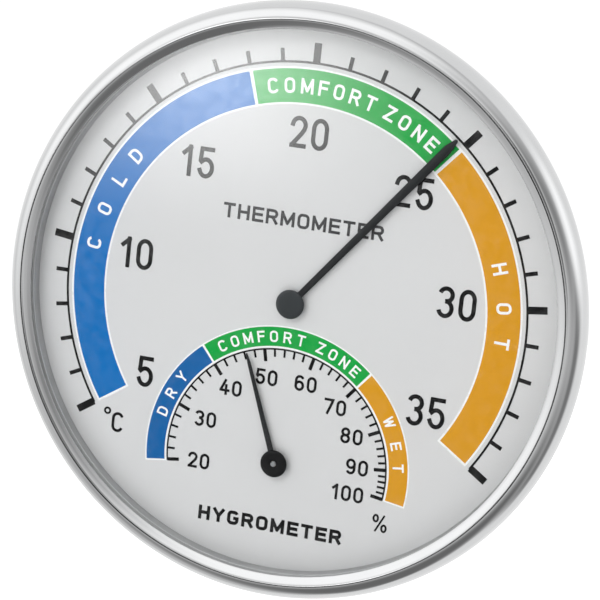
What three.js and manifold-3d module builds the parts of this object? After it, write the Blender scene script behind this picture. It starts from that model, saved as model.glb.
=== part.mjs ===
// Wall-hung dial thermometer and hygrometer, 130 mm across.
// Millimetres, +Z up, the dial faces -Y. The origin is the centre of the rear pad that rests on the wall,
// on the dial's axis, so a point d mm in front of the wall has y = -d.
import * as THREE from "three";
import { mergeVertices } from "three/addons/utils/BufferGeometryUtils.js";
import Module from "manifold-3d";

const wasm = await Module();
wasm.setup();

// ---- driving dimensions -------------------------------------------------
const RING = 48; // facets round the large rings
const BEZEL_R = 65; // outermost radius of the bezel
const DIAL_FRONT = 16.5; // front face of the dial, from the wall
const DIAL_T = 0.6;
const DIAL_R = 60.6;
const DIAL_HOLE_R = 1.6;
const WINDOW_R = 59.3; // inner radius of the bezel's lip
const SHEET = 0.7; // bezel sheet
const LENS_BACK = 18.7;
const LENS_T = 1.2;
const LENS_R = 60.6;
const SHELL_R = 60.2; // rear shell's wall where it meets its flange
const FLANGE_R = 63.3;
const FLANGE_BACK = 14.3;
const FLANGE_FRONT = 15.85;
const FLOOR = 3.2; // inner face of the shell's back
const RECESS = 1.2; // the vented part of the back stands this far off the wall
const PAD_R = 16; // centre pad that touches the wall
const RIM_IN = 47; // outer ring that touches the wall
const RIM_OUT = 56.5;
const KEYHOLE_Z = 36; // entry hole's centre
const KEYHOLE_R = 4.6;
const KEYHOLE_SLOT = 5.0; // slot width
const KEYHOLE_RISE = 7.5; // entry centre to the slot's top arc centre
const ADJUST_SLOT = 5.2; // width of the screwdriver slots in the back
const CARRIER_BACK = 13.4;
const CARRIER_T = 2.0;
const BOSSES = [[-23, 10], [23, 10], [0, -50.6]]; // x, z of the carrier's screws
const BOSS_R = 3.2;
const HYGRO_Z = -35.36; // the lower movement's axis
const STAFF_R = 0.6;
const BORE_R = 0.67; // running clearance on the staff
const PLATE_T = 0.8; // movement plates
const FRONT_PLATE = 12.5; // rear face of a movement's front plate
const BRIDGE = 5.75; // rear face of a movement's bridge
const LEVER_BACK = 4.85;
const LEVER_T = 0.75;
const POINTER_BACK = 17.3;
const POINTER_T = 0.3;
const THERMO_REST = 39.0; // degrees clockwise from straight up, 24.7 on the scale
const HYGRO_REST = -20.6; // 46.8 on the scale
const DEG = Math.PI / 180;

// ---- helpers ------------------------------------------------------------
const mat = (color, roughness, metalness, more = {}) =>
  new THREE.MeshStandardMaterial({ color, roughness, metalness, ...more });
const MAT = {
  steel: mat(0xc9cbcd, 0.18, 1),
  glass: mat(0xf4f8f8, 0.03, 0, { transparent: true, opacity: 0.15 }),
  rubber: mat(0x1c1d1e, 0.8, 0),
  satin: mat(0xc4c6c8, 0.4, 1),
  dial: mat(0xcfd0d2, 0.45, 0.3),
  blackMetal: mat(0x17191c, 0.4, 0.2),
  hub: mat(0x24282b, 0.45, 0),
  shell: mat(0x2a2b2d, 0.6, 0),
  carrier: mat(0xd8d6cf, 0.55, 0),
  brass: mat(0xb8924a, 0.35, 1),
  zinc: mat(0xa9acae, 0.35, 1),
  bimetal: mat(0xa88f6c, 0.3, 1),
  hygroStrip: mat(0xb9a27c, 0.5, 0.4),
};

const root = new THREE.Group();
function add(name, geometry, material, parent = root, x = 0, z = 0) {
  const mesh = new THREE.Mesh(geometry, material);
  mesh.name = name;
  mesh.position.set(x, 0, z);
  parent.add(mesh);
  return mesh;
}

// Solid of revolution about Y from [radius, d] points that start and end on the axis, or close on themselves.
function turned(points, segments = RING) {
  let p = points.map(([r, d]) => new THREE.Vector2(r, -d));
  const onAxis = p[0].x === 0 && p[p.length - 1].x === 0;
  if (!onAxis) p.push(p[0].clone());
  let area = 0;
  for (let i = 0; i < p.length; i++) {
    const a = p[i], b = p[(i + 1) % p.length];
    area += a.x * b.y - b.x * a.y;
  }
  if (area < 0) p.reverse();
  return bare(new THREE.LatheGeometry(p, segments));
}
// Only positions, with shared vertices merged.
function bare(geometry) {
  const g = geometry.index ? geometry.toNonIndexed() : geometry.clone();
  g.deleteAttribute("normal");
  g.deleteAttribute("uv");
  return mergeVertices(g, 1e-4);
}
// A flat shape drawn in X and Z, from d to d + t in front of the wall.
function plate(shape, d, t, curveSegments = 8) {
  const g = new THREE.ExtrudeGeometry(shape, { depth: t, bevelEnabled: false, curveSegments });
  g.rotateX(Math.PI / 2);
  g.translate(0, -d, 0);
  return bare(g);
}
function rod(r, d0, d1, segments = 12, x = 0, z = 0) {
  const g = new THREE.CylinderGeometry(r, r, d1 - d0, segments);
  g.translate(x, -(d0 + d1) / 2, z);
  return bare(g);
}
function box(x0, x1, d0, d1, z0, z1) {
  const g = new THREE.BoxGeometry(x1 - x0, d1 - d0, z1 - z0);
  g.translate((x0 + x1) / 2, -(d0 + d1) / 2, (z0 + z1) / 2);
  return bare(g);
}
function solid(geometry) {
  const g = bare(geometry);
  return new wasm.Manifold(
    new wasm.Mesh({
      numProp: 3,
      vertProperties: new Float32Array(g.attributes.position.array),
      triVerts: new Uint32Array(g.index.array),
    }),
  );
}
function geometryOf(manifold) {
  const m = manifold.getMesh();
  const v = new Float32Array(m.numVert * 3);
  for (let i = 0; i < m.numVert; i++)
    v.set(m.vertProperties.subarray(i * m.numProp, i * m.numProp + 3), i * 3);
  return new THREE.BufferGeometry()
    .setAttribute("position", new THREE.BufferAttribute(v, 3))
    .setIndex(new THREE.BufferAttribute(new Uint32Array(m.triVerts), 1));
}
function cut(from, ...tools) {
  let s = solid(from);
  for (const t of tools) s = s.subtract(solid(t));
  return geometryOf(s);
}
function ngon(x, z, r, sides) {
  return Array.from({ length: sides }, (_, i) => {
    const a = (2 * Math.PI * (i + 0.5)) / sides;
    return new THREE.Vector2(x + r * Math.cos(a), z + r * Math.sin(a));
  });
}
function disc(r, sides = 32) {
  return new THREE.Shape(ngon(0, 0, r, sides));
}
function hole(shape, x, z, r, sides = 16) {
  shape.holes.push(new THREE.Path(ngon(x, z, r, sides)));
  return shape;
}
function roundedRect(x0, x1, z0, z1, r) {
  const s = new THREE.Shape();
  s.moveTo(x0 + r, z0);
  s.lineTo(x1 - r, z0);
  s.absarc(x1 - r, z0 + r, r, -Math.PI / 2, 0, false);
  s.lineTo(x1, z1 - r);
  s.absarc(x1 - r, z1 - r, r, 0, Math.PI / 2, false);
  s.lineTo(x0 + r, z1);
  s.absarc(x0 + r, z1 - r, r, Math.PI / 2, Math.PI, false);
  s.lineTo(x0, z0 + r);
  s.absarc(x0 + r, z0 + r, r, Math.PI, 1.5 * Math.PI, false);
  return s;
}
// Slot along an arc about (cx, cz), angles in degrees anticlockwise from +X, with round ends.
function arcSlot(cx, cz, radius, width, from, to) {
  const a = from * DEG, b = to * DEG, h = width / 2;
  const s = new THREE.Shape();
  s.absarc(cx, cz, radius + h, a, b, false);
  s.absarc(cx + radius * Math.cos(b), cz + radius * Math.sin(b), h, b, b + Math.PI, false);
  s.absarc(cx, cz, radius - h, b, a, true);
  s.absarc(cx + radius * Math.cos(a), cz + radius * Math.sin(a), h, a + Math.PI, a + 2 * Math.PI, false);
  return s;
}

// ---- front: bezel, window, seal, spacer, dial ------------------------------
// Outer face of the rolled bezel, from the lip over the crest to the hook behind the flange.
const rollOut = [
  [WINDOW_R, 20.35], [60.1, 20.9], [61.2, 21.2], [62.4, 21.0], [63.5, 20.25], [64.3, 19.1],
  [64.8, 17.7], [BEZEL_R, 16.2], [64.8, 14.9], [64.1, 13.9], [63.1, 13.4], [61.2, 13.3],
];
const rollIn = [
  [61.2, 13.3 + SHEET], [62.9, 13.3 + SHEET + 0.05], [63.6, 14.35], [64.1, 15.1], [64.3, 16.2], [64.1, 17.5],
  [63.65, 18.75], [63.0, 19.7], [62.1, 20.35], [61.2, 20.45], [60.2, 19.98], [WINDOW_R, 19.98],
];
add("bezel_ring", turned([...rollOut, ...rollIn]), MAT.steel);

add("lens", turned([[0, LENS_BACK], [LENS_R - 0.25, LENS_BACK], [LENS_R, LENS_BACK + 0.25], [LENS_R, LENS_BACK + LENS_T - 0.25],
  [LENS_R - 0.25, LENS_BACK + LENS_T], [0, LENS_BACK + LENS_T]]), MAT.glass);
add("lens_gasket", turned([[59.25, 18.2], [60.75, 18.2], [60.75, 18.65], [59.25, 18.65]]), MAT.rubber);
add("spacer_ring", turned([[58.8, DIAL_FRONT + 0.05], [60.9, DIAL_FRONT + 0.05], [60.9, 18.15], [59.3, 18.15]]), MAT.satin);

const dial = disc(DIAL_R, RING);
hole(dial, 0, 0, DIAL_HOLE_R);
hole(dial, 0, HYGRO_Z, DIAL_HOLE_R);
add("dial_plate", plate(dial, DIAL_FRONT - DIAL_T, DIAL_T), MAT.dial);

// ---- rear shell ---------------------------------------------------------------
{
  const cup = turned([
    [0, 0], [PAD_R, 0], [PAD_R, RECESS], [RIM_IN, RECESS], [RIM_IN, 0], [RIM_OUT, 0], [58.3, 0.6], [59.3, 2.2],
    [SHELL_R, FLANGE_BACK], [FLANGE_R, FLANGE_BACK], [FLANGE_R, FLANGE_FRONT], [58.0, FLANGE_FRONT],
    [57.4, FLOOR + 0.8], [56.6, FLOOR], [0, FLOOR],
  ]);
  let s = solid(cup);
  // posts for the carrier's screws
  for (const [x, z] of BOSSES) s = s.add(solid(rod(BOSS_R, FLOOR - 0.5, CARRIER_BACK - 0.05, 16, x, z)));
  for (const [x, z] of BOSSES) s = s.subtract(solid(rod(1.25, 6.5, CARRIER_BACK + 1, 12, x, z)));
  // keyhole
  s = s.subtract(solid(rod(KEYHOLE_R, -1, FLOOR + 1, 16, 0, KEYHOLE_Z)));
  const slot = roundedRect(-KEYHOLE_SLOT / 2, KEYHOLE_SLOT / 2, KEYHOLE_Z, KEYHOLE_Z + KEYHOLE_RISE + KEYHOLE_SLOT / 2, KEYHOLE_SLOT / 2 - 0.01);
  s = s.subtract(solid(plate(slot, -1, FLOOR + 2, 4)));
  // vents, three arcs on each side in two lengths
  for (const r of [31.5, 36.9, 42.3])
    for (const side of [0, 180])
      for (const [a, b] of [[-33, -4], [4, 33]])
        s = s.subtract(solid(plate(arcSlot(0, 0, r, 2.8, side + a, side + b), -1, FLOOR + 2, 3)));
  // air paths through the rim that rests on the wall
  for (const a of [0, 180]) {
    const g = box(RIM_IN - 2, RIM_OUT + 6, -1, RECESS, -7, 7);
    g.rotateY(a * DEG);
    s = s.subtract(solid(g));
  }
  // screwdriver slots over the two regulators
  for (const [z, r] of [[0, 9.5], [HYGRO_Z, 8.2]])
    s = s.subtract(solid(plate(arcSlot(0, z, r, ADJUST_SLOT, 270 - 18, 270 + 18), -1, FLOOR + 2, 4)));
  add("rear_shell", geometryOf(s), MAT.shell);
}

// ---- carrier between the dial and the movements -----------------------------------
{
  const R0 = 28, R1 = 20, dz = -HYGRO_Z;
  const t = Math.asin((R0 - R1) / dz); // both circles share this tangent
  const s = new THREE.Shape();
  s.absarc(0, 0, R0, -t, Math.PI + t, false);
  s.absarc(0, HYGRO_Z, R1, Math.PI + t, 2 * Math.PI - t, false);
  hole(s, 0, 0, 5);
  hole(s, 0, HYGRO_Z, 5);
  for (const [x, z] of BOSSES) hole(s, x, z, 1.7);
  for (const x of [-14.5, 14.5]) hole(s, x, 0, 0.95);
  for (const x of [-11.6, 11.6]) hole(s, x, HYGRO_Z, 0.95);
  const sinks = BOSSES.map(([x, z]) => rod(3.0, CARRIER_BACK + 0.8, CARRIER_BACK + 4, 16, x, z));
  add("movement_carrier", cut(plate(s, CARRIER_BACK, CARRIER_T, 8), ...sinks), MAT.carrier);
}

// A pan-head screw along Y. sign +1: its head is at the rear, -1: at the front. hd is the head's far face.
function screw(name, x, z, hd, headR, headH, shankR, length, sign, parent = root) {
  const f = hd + sign * headH;
  const profile = [[0, hd], [headR * 0.72, hd], [headR * 0.96, hd + sign * headH * 0.4], [headR, f], [shankR, f],
    [shankR, f + sign * (length - 0.6)], [0, f + sign * length]];
  const body = turned(profile, 12);
  const a = Math.min(hd, hd + sign * headH * 0.45) - (sign > 0 ? 0.5 : 0);
  const b = Math.max(hd, hd + sign * headH * 0.45) + (sign > 0 ? 0 : 0.5);
  const w = headR * 0.2, l = headR * 0.62;
  add(name, cut(body, box(-l, l, a, b, -w, w), box(-w, w, a, b, -l, l)), MAT.zinc, parent, x, z);
}
BOSSES.forEach(([x, z], i) => screw("case_screw_" + (i + 1), x, z, CARRIER_BACK + 1.95, 2.7, 1.1, 1.15, 6.6, -1));

// ---- the two movements --------------------------------------------------------------
// Spiral strip, laid out anticlockwise from the collet seen from the front, its outer end at the top.
function spiral(r0, r1, turns, strip, d, width, perTurn = 20) {
  const n = Math.round(turns * perTurn);
  const side = (k) => {
    const out = [];
    for (let i = 0; i <= n; i++) {
      const u = i / n, r = r0 + (r1 - r0) * u + k * strip / 2, a = Math.PI / 2 - (1 - u) * turns * 2 * Math.PI;
      out.push(new THREE.Vector2(r * Math.cos(a), r * Math.sin(a)));
    }
    return out;
  };
  return plate(new THREE.Shape([...side(1), ...side(-1).reverse()]), d, width);
}

function movement(key, z, o) {
  const group = new THREE.Group();
  group.position.set(0, 0, z);
  root.add(group);
  const frontPlate = roundedRect(-o.half - 3.2, o.half + 3.2, -o.tall, o.tall, 2.2);
  hole(frontPlate, 0, 0, 2.1);
  hole(frontPlate, -o.half, 0, 0.95);
  hole(frontPlate, o.half, 0, 0.95);
  add(key + "_front_plate", plate(frontPlate, FRONT_PLATE, PLATE_T, 4), MAT.brass, group);
  const bridge = roundedRect(-o.half - 3.2, o.half + 3.2, -3.6, 3.6, 2.2);
  hole(bridge, 0, 0, 2.1);
  hole(bridge, -o.half, 0, 0.95);
  hole(bridge, o.half, 0, 0.95);
  add(key + "_bridge", plate(bridge, BRIDGE, PLATE_T, 4), MAT.brass, group);
  for (const [side, x] of [["left", -o.half], ["right", o.half]]) {
    const lo = BRIDGE + PLATE_T + 0.05, hi = FRONT_PLATE - 0.05;
    add(key + "_pillar_" + side, turned([[0.95, lo], [2, lo], [2, hi], [0.95, hi]], 12), MAT.brass, group, x, 0);
    screw(key + "_frame_screw_" + side, x, 0, BRIDGE - 1.05, 1.8, 1.0, 0.8, 9.2, 1, group);
  }
  // flanged bushes that carry the staff
  add(key + "_front_bush", turned([[BORE_R, 11.85], [2.9, 11.85], [2.9, FRONT_PLATE - 0.05], [2.0, FRONT_PLATE - 0.05], [2.0, 14.6], [BORE_R, 14.6]], 16), MAT.brass, group);
  add(key + "_rear_bush", turned([[BORE_R, 4.2], [2.7, 4.2], [2.7, LEVER_BACK - 0.05], [2.0, LEVER_BACK - 0.05], [2.0, BRIDGE + PLATE_T + 0.05],
    [2.9, BRIDGE + PLATE_T + 0.05], [2.9, 7.2], [BORE_R, 7.2]], 16), MAT.brass, group);

  // regulator: a ring on the rear bush, an arm up to the strip's outer end, an arm down to the screwdriver slot
  {
    const ring = disc(4.4, 24);
    const up = roundedRect(-1.7, 1.7, 3.4, o.coilR + 2.6, 0.5);
    const down = roundedRect(-1.7, 1.7, -o.adjustR - 2.1, -3.4, 1.2);
    let s = solid(plate(ring, LEVER_BACK, LEVER_T, 12));
    s = s.add(solid(plate(up, LEVER_BACK, LEVER_T, 3))).add(solid(plate(down, LEVER_BACK, LEVER_T, 3)));
    // the tab bends forward outside the coil, and its short foot clamps the strip's end
    s = s.add(solid(box(-1.7, 1.7, LEVER_BACK, 11.6, o.coilR + 1.7, o.coilR + 2.6)));
    s = s.subtract(solid(rod(2.1, LEVER_BACK - 1, LEVER_BACK + 2, 16)));
    // slot for a screwdriver
    s = s.subtract(solid(box(-0.45, 0.45, LEVER_BACK - 1, LEVER_BACK + 2, -o.adjustR - 1.3, -o.adjustR + 1.3)));
    add(key + "_regulator", geometryOf(s), MAT.zinc, group);
  }
  // clamp pin that holds the strip's outer end to the tab
  add(key + "_coil_pin", box(-0.9, 0.9, 8.6, 11.2, o.coilR + 0.32, o.coilR + 1.65), MAT.brass, group);
  add(key + "_coil", spiral(2.25, o.coilR, o.turns, o.strip, 8.3, o.width, o.perTurn), o.coilMat, group);

  // everything that turns with the pointer
  const needle = new THREE.Group();
  needle.rotation.y = o.rest * DEG;
  group.add(needle);
  add(key + "_staff", turned([[0, 4.45], [0.35, 4.45], [STAFF_R, 4.9], [STAFF_R, o.staffEnd], [0, o.staffEnd]], 12), MAT.zinc, needle);
  add(key + "_collet", turned([[STAFF_R + 0.02, 7.5], [1.75, 7.5], [1.75, 11.55], [STAFF_R + 0.02, 11.55]], 12), MAT.brass, needle);
  add(key + "_pointer", o.pointer(), MAT.blackMetal, needle);
  add(key + "_pointer_hub", o.hub(), MAT.hub, needle);
}

// Flat hand from the hub's seat out to a point; widths are full widths at the given radii.
function hand(widths, tip, seat) {
  const s = new THREE.Shape();
  const right = widths.map(([r, w]) => [w / 2, r]);
  s.moveTo(right[0][0], right[0][1]);
  for (const [x, z] of right.slice(1)) s.lineTo(x, z);
  s.lineTo(0, tip);
  for (const [x, z] of right.slice().reverse()) s.lineTo(-x, z);
  const w0 = widths[0][1] / 2, a = Math.acos(w0 / seat);
  s.absarc(0, 0, seat, Math.PI - a, 2 * Math.PI + a, false);
  hole(s, 0, 0, STAFF_R + 0.25);
  return plate(s, POINTER_BACK, POINTER_T, 8);
}

movement("thermo", 0, {
  half: 14.5, tall: 6, coilR: 10.6, adjustR: 9.5, turns: 7.0, strip: 0.36, width: 3.0, perTurn: 18, coilMat: MAT.bimetal, rest: THERMO_REST, staffEnd: 17.8,
  pointer: () => hand([[2.42, 1.5], [44.5, 2.35], [46.5, 2.3]], 50.5, 2.5),
  hub: () => turned([[0, 18.15], [2.7, 18.15], [3.05, 18.0], [3.2, 17.7], [3.2, 17.65], [STAFF_R + 0.02, 17.65], [STAFF_R + 0.02, 17.85], [0, 17.85]], 24),
});
movement("hygro", HYGRO_Z, {
  half: 11.6, tall: 5, coilR: 8.2, adjustR: 8.2, turns: 5.5, strip: 0.36, width: 3.0, perTurn: 18, coilMat: MAT.hygroStrip, rest: HYGRO_REST, staffEnd: 18.05,
  pointer: () => hand([[2.25, 1.75], [20.0, 0.95]], 23.2, 2.4),
  hub: () => turned([[STAFF_R + 0.02, 17.65], [3.0, 17.65], [3.0, 17.75], [2.85, 18.0], [2.5, 18.15], [0.85, 18.15], [STAFF_R + 0.02, 17.95]], 24),
});

export default root;
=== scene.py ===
import math

import bpy
import numpy as np
from mathutils import Matrix, Vector
from mathutils.geometry import delaunay_2d_cdt

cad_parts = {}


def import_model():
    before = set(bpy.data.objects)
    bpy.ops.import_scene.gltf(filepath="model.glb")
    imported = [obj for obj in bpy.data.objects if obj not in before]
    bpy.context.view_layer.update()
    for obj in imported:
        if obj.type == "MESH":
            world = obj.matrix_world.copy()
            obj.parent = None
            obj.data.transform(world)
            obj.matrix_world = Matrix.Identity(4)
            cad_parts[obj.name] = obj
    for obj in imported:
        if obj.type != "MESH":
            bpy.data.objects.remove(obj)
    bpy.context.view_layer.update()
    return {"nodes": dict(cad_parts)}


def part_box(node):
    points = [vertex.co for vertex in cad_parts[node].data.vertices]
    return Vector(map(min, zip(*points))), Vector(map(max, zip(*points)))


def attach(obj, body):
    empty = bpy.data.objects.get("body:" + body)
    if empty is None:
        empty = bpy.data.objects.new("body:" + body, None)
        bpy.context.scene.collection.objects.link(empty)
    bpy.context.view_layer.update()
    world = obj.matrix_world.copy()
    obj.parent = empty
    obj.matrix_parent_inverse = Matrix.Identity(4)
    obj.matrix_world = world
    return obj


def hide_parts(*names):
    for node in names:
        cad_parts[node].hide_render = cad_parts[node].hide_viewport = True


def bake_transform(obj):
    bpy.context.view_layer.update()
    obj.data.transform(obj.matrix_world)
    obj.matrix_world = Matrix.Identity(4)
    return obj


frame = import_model()
scene = bpy.context.scene
MM = 0.001

# Positions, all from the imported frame. d is millimetres in front of the wall, so y = -d.
DIAL = -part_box("dial_plate")[0].y / MM
HYGRO_Z = (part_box("hygro_pointer_hub")[0].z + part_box("hygro_pointer_hub")[1].z) / 2 / MM

# ---- camera -----------------------------------------------------------------------
cam_data = bpy.data.cameras.new("camera")
cam_data.lens = 173.87
cam_data.sensor_width = 36
cam_data.clip_start = 0.01
camera = bpy.data.objects.new("camera", cam_data)
turn = Matrix(
    (
        (0.9436299, -0.1555078, 0.2921983),
        (0.3149747, 0.1504914, -0.9370930),
        (0.1017519, 0.9763041, 0.1909892),
    )
).to_4x4()
camera.matrix_world = Matrix.Translation((0.183361, -0.582367 - DIAL * MM, 0.119773)) @ turn
scene.collection.objects.link(camera)
scene.camera = camera

# ---- materials ----------------------------------------------------------------------


class Nodes:
    """A material's node tree, built in few words."""

    def __init__(self, name):
        self.mat = bpy.data.materials.new(name)
        self.mat.use_nodes = True
        self.tree = self.mat.node_tree
        self.tree.nodes.clear()
        self.out = self.add("ShaderNodeOutputMaterial")
        self.where = self.add("ShaderNodeTexCoord").outputs["Object"]

    def add(self, kind, **values):
        n = self.tree.nodes.new(kind)
        for k, v in values.items():
            if hasattr(n, k):
                setattr(n, k, v)
            else:
                n.inputs[k.replace("_", " ")].default_value = v
        return n

    def link(self, a, b):
        self.tree.links.new(a, b)

    def noise(self, scale, detail=4, stretch=None, roughness=0.55):
        """A noise value at so many features a metre, drawn out along an axis if stretch is given."""
        where = self.where
        if stretch:
            m = self.add("ShaderNodeMapping")
            m.inputs["Scale"].default_value = stretch
            self.link(where, m.inputs["Vector"])
            where = m.outputs["Vector"]
        n = self.add("ShaderNodeTexNoise")
        n.inputs["Scale"].default_value = scale
        n.inputs["Detail"].default_value = detail
        n.inputs["Roughness"].default_value = roughness
        self.link(where, n.inputs["Vector"])
        return n.outputs["Fac"]

    def span(self, value, low, high, a=0.3, b=0.7):
        m = self.add("ShaderNodeMapRange")
        m.inputs["From Min"].default_value = a
        m.inputs["From Max"].default_value = b
        m.inputs["To Min"].default_value = low
        m.inputs["To Max"].default_value = high
        self.link(value, m.inputs["Value"])
        return m.outputs["Result"]

    def mix(self, value, one, two, a=0.3, b=0.7):
        m = self.add("ShaderNodeMix")
        m.data_type = "RGBA"
        m.inputs["A"].default_value = (*one, 1)
        m.inputs["B"].default_value = (*two, 1)
        self.link(self.span(value, 0, 1, a, b), m.inputs["Factor"])
        return m.outputs["Result"]

    def bump(self, value, height, strength=1.0, normal=None):
        b = self.add("ShaderNodeBump")
        b.inputs["Distance"].default_value = height
        b.inputs["Strength"].default_value = strength
        self.link(value, b.inputs["Height"])
        if normal is not None:
            self.link(normal, b.inputs["Normal"])
        return b.outputs["Normal"]

    def principled(self, **inputs):
        p = self.add("ShaderNodeBsdfPrincipled")
        for k, v in inputs.items():
            s = p.inputs[k.replace("_", " ")]
            if hasattr(v, "is_linked"):
                self.link(v, s)
            elif hasattr(v, "__len__"):
                s.default_value = (*v, 1) if len(v) == 3 else v
            else:
                s.default_value = v
        self.link(p.outputs["BSDF"], self.out.inputs["Surface"])
        return p


def lin(r, g, b):
    """An 8-bit screen colour as linear numbers."""
    f = lambda c: c / 255 / 12.92 if c <= 10 else ((c / 255 + 0.055) / 1.055) ** 2.4
    return (f(r), f(g), f(b))


def polished_steel():
    n = Nodes("polished_steel")
    hair = n.noise(900, 3, stretch=(1, 6, 1))
    haze = n.noise(45, 3)
    n.principled(
        Base_Color=n.mix(haze, (0.555, 0.56, 0.565), (0.60, 0.603, 0.607)),
        Metallic=1.0,
        Roughness=n.span(haze, 0.07, 0.13),
        Normal=n.bump(hair, 2e-7, 0.35),
    )
    return n.mat


def satin_metal(name, dark, light, rough=(0.28, 0.42), metallic=1.0, grain=1500, stretch=(1, 1, 12), height=4e-6):
    n = Nodes(name)
    lines = n.noise(grain, 3, stretch=stretch)
    cloud = n.noise(70, 4)
    n.principled(
        Base_Color=n.mix(cloud, dark, light),
        Metallic=metallic,
        Roughness=n.span(lines, *rough),
        Normal=n.bump(lines, height, 0.5),
    )
    return n.mat


def dial_metal():
    """Silver lacquer: a fine sparkle over a soft sheen, with painted shade: its colour turns darker towards the rim,
    where the bezel shades the dial.
    """
    n = Nodes("dial_silver")
    fleck = n.noise(9000, 2)
    cloud = n.noise(28, 3)
    across = n.add("ShaderNodeMapping")
    across.inputs["Scale"].default_value = (1, 0, 1)
    n.link(n.where, across.inputs["Vector"])
    out = n.add("ShaderNodeVectorMath", operation="LENGTH")
    n.link(across.outputs["Vector"], out.inputs[0])
    # painted shade: from 52.5 mm out to the rim the base colour fades to a darker grey, standing in for the bezel's
    # shade on the dial
    rim = n.add("ShaderNodeMix")
    rim.data_type = "RGBA"
    n.link(n.span(out.outputs["Value"], 0, 1, 0.0525, 0.0602), rim.inputs["Factor"])
    n.link(n.mix(cloud, (0.705, 0.705, 0.712), (0.723, 0.723, 0.730)), rim.inputs["A"])
    rim.inputs["B"].default_value = (0.685, 0.685, 0.69, 1)
    p = n.principled(
        Base_Color=rim.outputs["Result"],
        Metallic=0.25,
        Roughness=n.span(fleck, 0.40, 0.52),
        Normal=n.bump(fleck, 1.5e-6, 0.25),
    )
    p.inputs["Specular IOR Level"].default_value = 0.35
    return n.mat


def ink(name, colour, rough=0.13, vary=0.06):
    """Screen-printed ink, a little uneven in its colour and in its gloss."""
    n = Nodes(name)
    a = tuple(c * (1 - vary) for c in colour)
    b = tuple(min(1, c * (1 + vary)) for c in colour)
    cover = n.noise(2600, 3)
    n.principled(
        Base_Color=n.mix(cover, a, b),
        Roughness=n.span(n.noise(420, 3), rough - 0.05, rough + 0.06),
        IOR=2.1,
        Normal=n.bump(cover, 8e-7, 0.3),
    )
    return n.mat


def moulded(name, dark, light, rough=(0.48, 0.62), grain=2600, height=1.4e-5):
    """Spark-eroded moulded plastic."""
    n = Nodes(name)
    skin = n.noise(grain, 3, roughness=0.7)
    flow = n.noise(26, 5)
    p = n.principled(
        Base_Color=n.mix(flow, dark, light),
        Roughness=n.span(skin, *rough),
        Normal=n.bump(skin, height, 0.55),
    )
    p.inputs["Specular IOR Level"].default_value = 0.4
    return n.mat


def painted(name, dark, light, rough=(0.30, 0.42), metallic=0.0, shine=0.5):
    n = Nodes(name)
    orange = n.noise(1800, 2)
    wear = n.noise(240, 5)
    p = n.principled(
        Base_Color=n.mix(wear, dark, light),
        Metallic=metallic,
        Roughness=n.span(wear, *rough),
        Normal=n.bump(orange, 2e-6, 0.35),
    )
    p.inputs["Specular IOR Level"].default_value = shine
    return n.mat


def window_glass():
    """Thin clear glass: what is behind it shows unbent, and its faces mirror a little, more at a slant."""
    n = Nodes("window_glass")
    clear = n.add("ShaderNodeBsdfTransparent")
    clear.inputs["Color"].default_value = (0.992, 0.995, 0.994, 1)
    gloss = n.add("ShaderNodeBsdfGlossy")
    gloss.inputs["Color"].default_value = (1, 1, 1, 1)
    n.link(n.span(n.noise(18, 3), 0.004, 0.016), gloss.inputs["Roughness"])
    lean = n.add("ShaderNodeLayerWeight")
    lean.inputs["Blend"].default_value = 0.5
    rise = n.add("ShaderNodeMath", operation="POWER")
    rise.inputs[1].default_value = 5.0
    n.link(lean.outputs["Facing"], rise.inputs[0])
    share = n.span(rise.outputs[0], 0.0426, 1.0, 0.0, 1.0)
    mix = n.add("ShaderNodeMixShader")
    n.link(share, mix.inputs["Fac"])
    n.link(clear.outputs["BSDF"], mix.inputs[1])
    n.link(gloss.outputs["BSDF"], mix.inputs[2])
    n.link(mix.outputs["Shader"], n.out.inputs["Surface"])
    return n.mat


STEEL = polished_steel()
GLASS = window_glass()
RUBBER = moulded("clear_silicone", (0.52, 0.525, 0.53), (0.60, 0.605, 0.61), (0.35, 0.5), 1800, 8e-6)
RING = satin_metal("satin_aluminium", (0.45, 0.453, 0.457), (0.52, 0.521, 0.523), (0.32, 0.46), grain=1200, stretch=(1, 8, 1))
DIAL_METAL = dial_metal()
SHELL = moulded("shell_plastic", (0.020, 0.0205, 0.0215), (0.028, 0.0285, 0.0295))
CARRIER = moulded("carrier_plastic", (0.60, 0.585, 0.55), (0.68, 0.665, 0.63), (0.42, 0.55), 1500, 8e-6)
ZINC = satin_metal("zinc_plate", (0.50, 0.51, 0.525), (0.62, 0.625, 0.635), (0.24, 0.40), grain=1800, stretch=(1, 3, 1))
BRASS = satin_metal("rolled_brass", (0.62, 0.43, 0.17), (0.74, 0.54, 0.25), (0.22, 0.38), grain=1500, stretch=(10, 1, 1))
BIMETAL = satin_metal("bimetal_strip", (0.36, 0.28, 0.19), (0.50, 0.40, 0.28), (0.25, 0.40), grain=1700, stretch=(1, 12, 1))
SENSING = satin_metal("hygroscopic_strip", (0.45, 0.36, 0.22), (0.58, 0.47, 0.31), (0.45, 0.6), 0.4, grain=1700, stretch=(1, 12, 1))
HAND_BLACK = painted("pointer_black", (0.0085, 0.0095, 0.011), (0.0125, 0.014, 0.016), (0.30, 0.42), shine=0.36)
HUB_GREY = painted("hub_dark_grey", (0.018, 0.022, 0.025), (0.028, 0.033, 0.037), (0.34, 0.46))
HUB_BLACK = painted("hub_black", (0.004, 0.004, 0.0045), (0.007, 0.007, 0.0075), (0.34, 0.46), shine=0.2)
INK_BLACK = ink("ink_black", (0.0022, 0.0022, 0.0027), 0.11)
INK_GREY = ink("ink_grey", (0.034, 0.034, 0.037), 0.13)
INK_WHITE = ink("ink_white", (0.93, 0.935, 0.94), 0.3, 0.015)
INK_BLUE = ink("ink_blue", lin(6, 113, 190))
INK_DEEP_BLUE = ink("ink_deep_blue", lin(4, 98, 168))
INK_GREEN = ink("ink_green", lin(6, 167, 66))
INK_ORANGE = ink("ink_orange", lin(222, 156, 24))

# ---- mesh helpers ------------------------------------------------------------------------


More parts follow.
